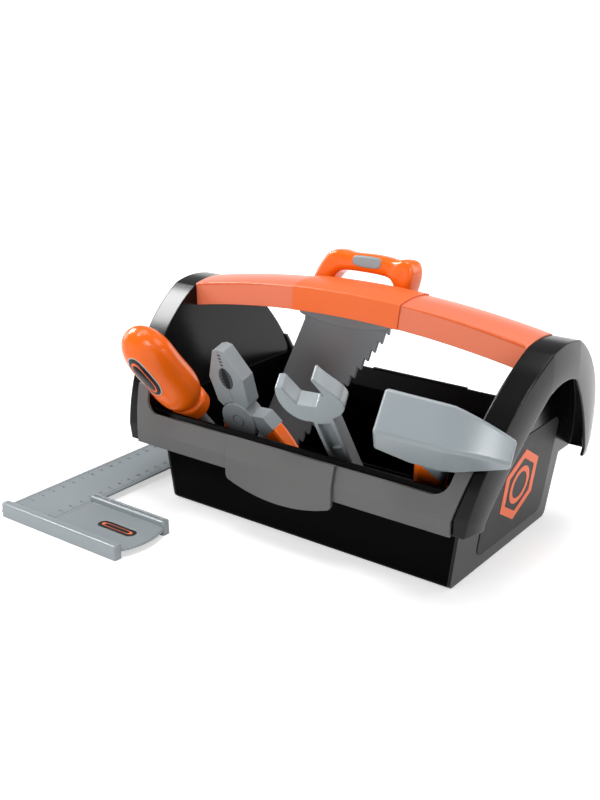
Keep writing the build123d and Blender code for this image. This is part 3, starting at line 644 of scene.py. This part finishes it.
    def _camera(self) -> None:
        """Place the camera at the photograph's viewing angle."""
        data = bpy.data.cameras.new("camera")
        data.lens = self.lens
        data.sensor_fit = "VERTICAL"
        data.sensor_height = self.sensor_height
        camera = bpy.data.objects.new("camera", data)
        bpy.context.scene.collection.objects.link(camera)
        turn, tilt = math.radians(self.azimuth), math.radians(self.elevation)
        back = Vector((math.sin(turn) * math.cos(tilt), -math.cos(turn) * math.cos(tilt), math.sin(tilt)))
        right = Vector((math.cos(turn), math.sin(turn), 0.0))
        facing = Matrix((right, back.cross(right), back)).transposed().to_4x4()
        camera.matrix_world = Matrix.Translation(Vector(self.camera_place)) @ facing
        bpy.context.scene.camera = camera


@dataclass
class BoxShell:
    """Tub, hoods, fascias, centre plates, handle and the plate on the right end, in millimetres."""

    palette: Palette
    end_slope: float = 0.132
    end_face: float = 146.75
    motif_middle: Flat = (11.5, 58.0)
    motif_radius: float = 33.0
    motif_band: float = 7.0
    motif_hole: float = 17.0
    hole_band_share: float = 0.7
    hole_sides: int = 40
    motif_rise: float = 0.25
    motif_depth: float = 0.2
    edge_height: float = 202.9
    edge_front: float = -22.0
    bow_radius: float = 920.0
    strip_widths: Flat = (0.9, 3.4)
    strip_shares: tuple[float, ...] = (-0.5, -0.15, 0.15, 0.5)
    strip_gap: float = 0.6
    strip_end: float = 165.4
    strip_steps: int = 24
    strip_rise: float = 0.14
    strip_depth: float = 0.1
    rim_half_length: float = 52.0
    rim_width: float = 3.0
    rim_rise: float = 1.8
    rim_sunk: float = 0.6
    rim_margin: float = 0.1
    rim_bevel: float = 0.5

    def build(self) -> None:
        """Dress the frame nodes of the box, and add the motif, the handle's strips of painted chamfer shade
        and the rim's step.
        """
        self.palette.dress("tub", TUB_BLACK)
        for node in ("right_hood", "left_hood"):
            self.palette.dress(node, HOOD_BLACK)
        for node in ("front_fascia", "rear_fascia", "front_centre_plate", "rear_centre_plate"):
            self.palette.dress(node, GREY)
        self.palette.dress("handle_bar", HANDLE_ORANGE)
        self.palette.dress("handle_grip", GRIP)
        self.palette.dress("end_label", PLATE_DARK)
        self._motif()
        for side in (-1.0, 1.0):
            self._chamfer_shade_strip(side)
        self._rim_step()
        log.info("box shell dressed")

    def _motif(self) -> None:
        """Print a plain nut shape on the end plate: a six-sided ring round a round one."""
        y, z = self.motif_middle
        middle = (self.end_face + self.end_slope * z, y, z)
        seat = Seat(middle, across=(0.0, 1.0, 0.0), out=(1.0, 0.0, -self.end_slope))
        motif = Piece("end_motif", Body.BOX, PRINT_ORANGE, Slot.ORANGE, seat)
        motif.ring(6, self.motif_radius, self.motif_band)
        motif.ring(self.hole_sides, self.motif_hole, self.motif_band * self.hole_band_share)
        motif.wrap(surface_of(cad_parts["end_label"]), self.motif_rise, self.motif_depth)
        motif.place(self.palette)

    def _rim_step(self) -> None:
        """Raise the middle of the tub's rear rim by a low black step."""
        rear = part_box("tub")[1]
        step = Piece("rear_rim_step", Body.BOX, HOOD_BLACK, Slot.BLACK, Seat((0.0, 0.0, 0.0)))
        middle = (
            0.0,
            rear[1] / MM - self.rim_width / 2 - self.rim_margin,
            rear[2] / MM + self.rim_rise / 2 - self.rim_sunk / 2,
        )
        size = (self.rim_half_length * 2, self.rim_width, self.rim_rise + self.rim_sunk)
        step.bar(middle, size, self.rim_bevel)
        step.place(self.palette)

    def _chamfer_shade_strip(self, side: float) -> None:
        """Lay the strip of painted shade that widens along the handle's top front edge, from the grip to a
        hood: a darker orange sheet where the chamfer there lies in shade.

        Args:
            side: Minus one for the left hood, one for the right.
        """
        lean = math.sqrt(0.5)
        seat = Seat((0.0, self.edge_front, self.edge_height), out=(0.0, -lean, lean))
        low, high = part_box("handle_grip")
        grip_end, name = (high, "right") if side > 0.0 else (low, "left")
        near = grip_end[0] / MM + side * self.strip_gap
        far = side * self.strip_end
        strip = Piece(f"handle_{name}_edge", Body.BOX, CHAMFER_SHADE_ORANGE, Slot.ORANGE, seat)
        thin, broad = self.strip_widths
        rows = []
        for index in range(self.strip_steps + 1):
            share = index / self.strip_steps
            x = near + (far - near) * share
            middle = -(self.bow_radius - math.sqrt(self.bow_radius**2 - x**2)) * lean
            width = thin + (broad - thin) * share
            ys = [middle + width * part for part in self.strip_shares]
            rows.append([strip.shape.verts.new((x, y, 0.0)) for y in ys])
        for one, two in zip(rows, rows[1:]):
            for index in range(len(one) - 1):
                strip.shape.faces.new((one[index], two[index], two[index + 1], one[index + 1]))
        strip.wrap(surface_of(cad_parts["handle_bar"]), self.strip_rise, self.strip_depth)
        strip.place(self.palette)


@dataclass
class SawHandle:
    """The saw's closed grip, rounder than its solid, with the plate let into its front.

    Outlines and middles are across and up in the saw's leaning plane, in millimetres. The bar is the slim
    upper side of the loop, and the posts are the rest of it.
    """

    palette: Palette
    lean: float = 8.11
    saw_y: float = 14.0
    post: float = 12.0
    bar: float = 9.6
    edge: float = 5.0
    corner_angle: float = 60.0
    smooth_angle: float = 80.0
    levels: int = 2
    plate_middle: Flat = (-17.0, 219.0)
    plate_half: Flat = (14.6, 6.0)
    plate_square: float = 0.62
    plate_rise: float = 0.45
    plate_depth: float = 1.2
    outer: tuple[Flat, ...] = (
        (-82.0, 170.2), (-78.0, 186.0), (-72.6, 201.5), (-65.5, 215.0), (-57.5, 225.4), (-45.0, 226.4),
        (-37.0, 224.2), (-24.0, 225.2), (-12.0, 225.6), (2.0, 224.8), (11.0, 223.2), (18.0, 225.6),
        (27.0, 225.0), (31.6, 213.0), (28.0, 196.0), (20.0, 170.2), (-30.0, 170.2),
    )
    inner: tuple[Flat, ...] = (
        (-58.0, 186.0), (-57.0, 191.0), (-53.0, 199.0), (-48.0, 205.0), (-43.0, 207.2), (-38.0, 207.8),
        (-32.0, 208.0), (-22.0, 208.0), (-12.0, 208.0), (-2.0, 207.6), (4.0, 206.8), (8.5, 205.0),
        (12.0, 201.0), (12.6, 196.0), (10.5, 190.0), (4.0, 186.0), (-28.0, 186.0),
    )
    slim: tuple[int, ...] = (6, 7, 8, 9, 10)

    def build(self) -> None:
        """Build the loop, then the plate on the loop's surface."""
        lean = math.radians(self.lean)
        up = (0.0, math.sin(lean), math.cos(lean))
        out = (0.0, -math.cos(lean), math.sin(lean))
        loop = Piece(
            "saw_loop", Body.SAW, ORANGE, Slot.ORANGE, Seat((0.0, self.saw_y, 0.0), out=out),
            smooth_angle=self.smooth_angle, levels=self.levels,
        )
        self._loop(loop.shape)
        grip = loop.place(self.palette)
        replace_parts(grip, "saw_handle")
        bpy.context.view_layer.update()
        x, height = self.plate_middle
        seat = Seat((x, self.saw_y + up[1] * height, up[2] * height), across=up, out=out)
        plate = Piece("saw_grip_plate", Body.SAW, TOOL_GREY, Slot.TOOL, seat)
        plate.oval(*self.plate_half, square=self.plate_square)
        plate.wrap(surface_of(grip), self.plate_rise, self.plate_depth)
        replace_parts(plate.place(self.palette), "saw_insert")

    def _loop(self, shape: bmesh.types.BMesh) -> None:
        """Bridge the outer and inner outline, give them depth and round the edges.

        Args:
            shape: The bmesh that gets the loop.
        """
        rings = []
        for outline in (self.outer, self.inner):
            verts = [
                shape.verts.new((x, y, self.bar if index in self.slim else self.post))
                for index, (x, y) in enumerate(outline)
            ]
            rings += [shape.edges.new((verts[i], verts[(i + 1) % len(verts)])) for i in range(len(verts))]
        faces = bmesh.ops.bridge_loops(shape, edges=rings)["faces"]
        bmesh.ops.scale(shape, vec=(1.0, 1.0, -1.0), verts=drawn_out(shape, faces))
        bmesh.ops.recalc_face_normals(shape, faces=list(shape.faces))
        sharp = math.radians(self.corner_angle)
        corners = [edge for edge in shape.edges if edge.calc_face_angle(0.0) > sharp]
        softened(shape, corners, self.edge, 2)


@dataclass(frozen=True)
class Layer:
    """One thin layer of the screwdriver's plate, with its inset from the plate's edge along and across."""

    name: str
    finish: Plastic
    slot: Slot
    inset: Flat
    rise: float
    depth: float
    hole: bool = False


@dataclass
class ScrewdriverPlate:
    """The dark oval plate with its pale rim on the screwdriver's bulb, in millimetres."""

    palette: Palette
    lean: float = 40.24
    foot: Point = (-125.5, -4.6, 5.86)
    height: float = 186.5
    angle: float = -80.0
    half_length: float = 24.0
    half_width: float = 8.2
    square: float = 0.85
    layers: tuple[Layer, ...] = (
        Layer("driver_plate_rim", PALE_RIM, Slot.TOOL, (-0.9, -0.9), 0.25, 0.5),
        Layer("driver_plate", PLATE_GLOSS, Slot.LABEL, (0.0, 0.0), 0.45, 0.5),
        Layer("driver_plate_line", PRINT_ORANGE, Slot.ORANGE, (4.0, 3.0), 0.6, 0.3, hole=True),
    )

    def build(self) -> None:
        """Wrap the rim, the plate and its line on the bulb, each a little higher than the last."""
        lean = math.radians(self.lean)
        along = Vector((0.0, -math.sin(lean), math.cos(lean)))
        side = Vector((0.0, math.cos(lean), math.sin(lean)))
        turn = math.radians(self.angle)
        out = Vector((1.0, 0.0, 0.0)) * math.cos(turn) + side * math.sin(turn)
        middle = Vector(self.foot) + along * self.height
        seat = Seat(tuple(middle), across=tuple(out.cross(along) * -1.0), out=tuple(out))
        bulb = surface_of(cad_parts["screwdriver_handle"])
        for layer in self.layers:
            piece = Piece(layer.name, Body.SCREWDRIVER, layer.finish, layer.slot, seat)
            along_inset, side_inset = layer.inset
            piece.oval(
                self.half_length - along_inset, self.half_width - side_inset,
                square=self.square, hole=layer.hole,
            )
            piece.wrap(bulb, layer.rise, layer.depth)
            piece.place(self.palette)


@dataclass
class PliersDetail:
    """The ribbed oval hollow between the pliers' jaws with its painted shade, the painted shade in the gaps
    between their teeth and the grooves round the pin.

    Sizes are in millimetres from the pivot, in the pliers' own leaning plane.
    """

    palette: Palette
    lean: float = 17.0
    roll: float = 4.5
    pivot: Point = (-72.5, -70.0, 92.003)
    face: float = 7.0
    oval_height: float = 43.0
    oval_half_length: float = 10.6
    oval_half_width: float = 7.2
    oval_steps: int = 20
    oval_sunk: float = 0.4
    oval_rise: float = 0.06
    oval_bevel: float = 0.04
    rib_step: float = 1.5
    rib_share: float = 0.42
    rib_reach: float = 0.5
    rib_spread: float = 26.0
    rib_least: float = 2.0
    rib_gap: float = 0.2
    rib_rise: float = 0.08
    rib_depth: float = 0.3
    pin_ring: float = 6.4
    boss_ring: float = 16.6
    boss_arc: Flat = (38.0, 150.0)
    groove: float = 1.2
    groove_depths: Flat = (6.8, 7.1)
    groove_steps: int = 48
    tooth_heights: tuple[float, ...] = (56.5, 59.7, 62.9, 66.1)
    tooth_out: float = 0.85
    tooth_sunk: float = 0.15
    tooth_size: Point = (1.5, 1.3, 0.5)
    tooth_turn: float = 24.0
    bevel: float = 0.1

    def seat(self) -> Seat:
        """Work out the pliers' own plane at the pivot.

        Returns:
            The seat of every piece on the pliers' face.
        """
        lean, roll = math.radians(self.lean), math.radians(self.roll)
        across = (math.cos(roll), -math.sin(roll) * math.sin(lean), math.sin(roll) * math.cos(lean))
        return Seat(self.pivot, across=across, out=(0.0, -math.cos(lean), -math.sin(lean)))

    def build(self) -> None:
        """Add the oval hollow's painted shade, the ribs and the painted shade of the teeth gaps to each half,
        and the grooves to the front one.
        """
        # The oval and the teeth are painted shade: dark sheets where the hollow and the gaps between the
        # teeth lie in shade.
        details = (
            ("oval", GROOVE_AND_SHADE_DARK, self._half_oval_shade),
            ("ribs", MARK_GREY, self._ribs),
            ("teeth", GROOVE_AND_SHADE_DARK, self._teeth),
        )
        for side, body, name in ((-1.0, Body.PLIERS_BACK, "left"), (1.0, Body.PLIERS_FRONT, "right")):
            for detail, finish, draw in details:
                piece = Piece(f"pliers_{name}_{detail}", body, finish, Slot.TOOL, self.seat())
                draw(piece, side)
                piece.place(self.palette)
        rings = Piece("pliers_pin_groove", Body.PLIERS_FRONT, GROOVE_AND_SHADE_DARK, Slot.TOOL, self.seat())
        self._arc(rings, self.pin_ring, 0.0, 360.0)
        self._arc(rings, self.boss_ring, *self.boss_arc)
        rings.place(self.palette)

    def _half_oval_shade(self, piece: Piece, side: float) -> None:
        """Lay one half of the oval hollow's painted shade, a dark sheet, on the jaw's face.

        Args:
            piece: The piece that gets it.
            side: Minus one for the left jaw, one for the right.
        """
        outline = [(0.0, self.oval_height - self.oval_half_length)]
        for index in range(1, self.oval_steps):
            turn = math.radians(-90.0 + 180.0 * index / self.oval_steps)
            outline.append((
                side * self.oval_half_width * math.cos(turn),
                self.oval_height + self.oval_half_length * math.sin(turn),
            ))
        outline.append((0.0, self.oval_height + self.oval_half_length))
        if side < 0.0:
            outline.reverse()
        piece.plate(outline, self.face - self.oval_sunk, self.face + self.oval_rise, self.oval_bevel)

    def _ribs(self, piece: Piece, side: float) -> None:
        """Set thin ribs that fan out towards the oval's rim.

        Args:
            piece: The piece that gets them.
            side: Minus one for the left jaw, one for the right.
        """
        count = int(self.oval_half_length * 2 / self.rib_step)
        for index in range(1, count + 1):
            y = -self.oval_half_length + (index - 0.5) * self.oval_half_length * 2 / count
            share = y / self.oval_half_length
            reach = self.oval_half_width * math.sqrt(max(0.0, 1.0 - share**2))
            if reach > self.rib_least:
                width = reach * self.rib_reach
                middle = (
                    side * (reach - width / 2 - self.rib_gap), self.oval_height + y, self.face + self.rib_rise
                )
                size = (width, self.rib_step * self.rib_share, self.rib_depth)
                piece.bar(middle, size, self.bevel, turn=side * share * self.rib_spread)

    def _teeth(self, piece: Piece, side: float) -> None:
        """Set small dark bars along one jaw's inner edge: painted shade in the gaps between the teeth.

        Args:
            piece: The piece that gets them.
            side: Minus one for the left jaw, one for the right.
        """
        for height in self.tooth_heights:
            middle = (side * self.tooth_out, height, self.face - self.tooth_sunk)
            piece.bar(middle, self.tooth_size, self.bevel, turn=side * self.tooth_turn)

    def _arc(self, piece: Piece, radius: float, start: float, end: float) -> None:
        """Add a thin dark groove line round the pin.

        Args:
            piece: The piece that gets it.
            radius: Radius of its middle.
            start: Where it starts, in degrees.
            end: Where it ends.
        """
        near, far = radius - self.groove / 2, radius + self.groove / 2
        low, high = self.groove_depths
        along, aside = math.cos(math.radians(start)), math.sin(math.radians(start))
        rim = [
            piece.shape.verts.new((reach * along, reach * aside, depth))
            for reach, depth in ((near, low), (far, low), (far, high), (near, high))
        ]
        loop = [piece.shape.edges.new((rim[i], rim[(i + 1) % 4])) for i in range(4)]
        full = end - start >= 360.0
        bmesh.ops.spin(
            piece.shape, geom=rim + loop, cent=(0.0, 0.0, 0.0), axis=(0.0, 0.0, 1.0),
            angle=math.radians(end - start), steps=self.groove_steps, use_merge=full,
        )
        open_ends = [edge for edge in piece.shape.edges if edge.is_boundary]
        bmesh.ops.holes_fill(piece.shape, edges=open_ends, sides=4)


@dataclass
class SquareScale:
    """The raised scale on the square's blade, ticks and plain numbers along both edges, in millimetres."""

    palette: Palette
    blade_left: float = -242.0
    blade_width: float = 57.5
    first: float = -192.0
    last: float = -16.0
    top: float = 8.0
    rise: float = 0.18
    step: float = 3.05
    tick: float = 2.4
    tick_width: float = 0.45
    tick_inset: float = 2.4
    tick_bevel: float = 0.05
    long_share: float = 1.7
    number_every: int = 4
    number_size: float = 4.6
    number_inset: float = 10.5
    line_inset: float = 3.4
    line_rings: int = 5
    line_square: float = 0.5
    line_sunk: float = 0.1
    line_depth: float = 0.25

    def build(self) -> None:
        """Build the ticks, the numbers and the line on the plate."""
        seat = Seat((0.0, 0.0, self.top))
        ticks = Piece("square_ticks", Body.SQUARE, MARK_GREY, Slot.TOOL, seat)
        count = int((self.last - self.first) / self.step) + 1
        right = self.blade_left + self.blade_width
        for index in range(count):
            y = self.first + index * self.step
            long = self.tick * (self.long_share if index % self.number_every == 0 else 1.0)
            inset = self.tick_inset + long / 2
            for x in (self.blade_left + inset, right - inset):
                ticks.bar((x, y, self.rise / 2), (long, self.tick_width, self.rise), self.tick_bevel)
        ticks.place(self.palette)
        numbers = Piece("square_numbers", Body.SQUARE, MARK_GREY, Slot.TOOL, seat)
        for index in range(0, count, self.number_every):
            y = self.first + index * self.step
            for x in (self.blade_left + self.number_inset, right - self.number_inset):
                self._number(numbers.shape, str(index // self.number_every + 1), (x, y))
        numbers.place(self.palette)
        self._badge_line()

    def _badge_line(self) -> None:
        """Lay a plain oval line on the square's plate."""
        low, high = (Vector(corner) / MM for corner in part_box("square_badge"))
        middle, half = (low + high) / 2, (high - low) / 2
        seat = Seat((middle.x, middle.y, high.z - self.line_sunk))
        line = Piece("square_badge_line", Body.SQUARE, PRINT_ORANGE, Slot.ORANGE, seat)
        line.oval(
            half.y - self.line_inset, half.x - self.line_inset,
            rings=self.line_rings, square=self.line_square, hole=True,
        )
        line.thicken(list(line.shape.faces), self.line_depth)
        line.place(self.palette)

    def _number(self, shape: bmesh.types.BMesh, text: str, place: Flat) -> None:
        """Add one plain number, turned to read from the blade's right edge.

        Args:
            shape: The bmesh that gets the number.
            text: The number.
            place: Its middle on the blade.
        """
        words = bpy.data.curves.new("number", "FONT")
        words.body = text
        words.size = self.number_size
        words.align_x = "CENTER"
        words.align_y = "CENTER"
        words.extrude = self.rise / 2
        holder = bpy.data.objects.new("number", words)
        mesh = bpy.data.meshes.new_from_object(holder)
        turn = Matrix.Rotation(math.radians(90.0), 4, "Z")
        mesh.transform(Matrix.Translation((*place, self.rise / 2)) @ turn)
        shape.from_mesh(mesh)
        bpy.data.objects.remove(holder)
        bpy.data.curves.remove(words)
        bpy.data.meshes.remove(mesh)


@dataclass
class Tools:
    """Hammer, saw, wrench, pliers, screwdriver and square: the finishes of their frame nodes."""

    palette: Palette
    grey: tuple[str, ...] = (
        "hammer_head", "hammer_handle", "saw_blade", "saw_ferrule", "saw_insert", "wrench",
        "pliers_front_half", "pliers_back_half", "pliers_pivot_pin", "screwdriver_shaft",
        "square_stock", "square_blade",
    )
    orange: tuple[str, ...] = (
        "hammer_grip", "saw_handle", "pliers_right_grip", "pliers_left_grip",
        "screwdriver_collar", "screwdriver_handle",
    )

    def build(self) -> None:
        """Dress the frame nodes of the tools."""
        for node in self.grey:
            self.palette.dress(node, TOOL_GREY)
        for node in self.orange:
            self.palette.dress(node, ORANGE)
        self.palette.dress("square_badge", PLATE_GLOSS)
        log.info("tools dressed")


def write_sizes() -> None:
    """Define a helper that turns corners into plain lists, which is never called."""
    def plain(corners: object) -> list[list[float]]:
        """Return corners as plain lists."""
        return [[float(value) for value in corner] for corner in corners]


def main() -> None:
    """Build the studio and every sub-assembly in order."""
    logging.basicConfig(level=logging.INFO)
    palette = Palette()
    Studio().build()
    BoxShell(palette).build()
    Tools(palette).build()
    SawHandle(palette).build()
    ScrewdriverPlate(palette).build()
    PliersDetail(palette).build()
    SquareScale(palette).build()
    write_sizes()


if __name__ == "__main__":
    main()
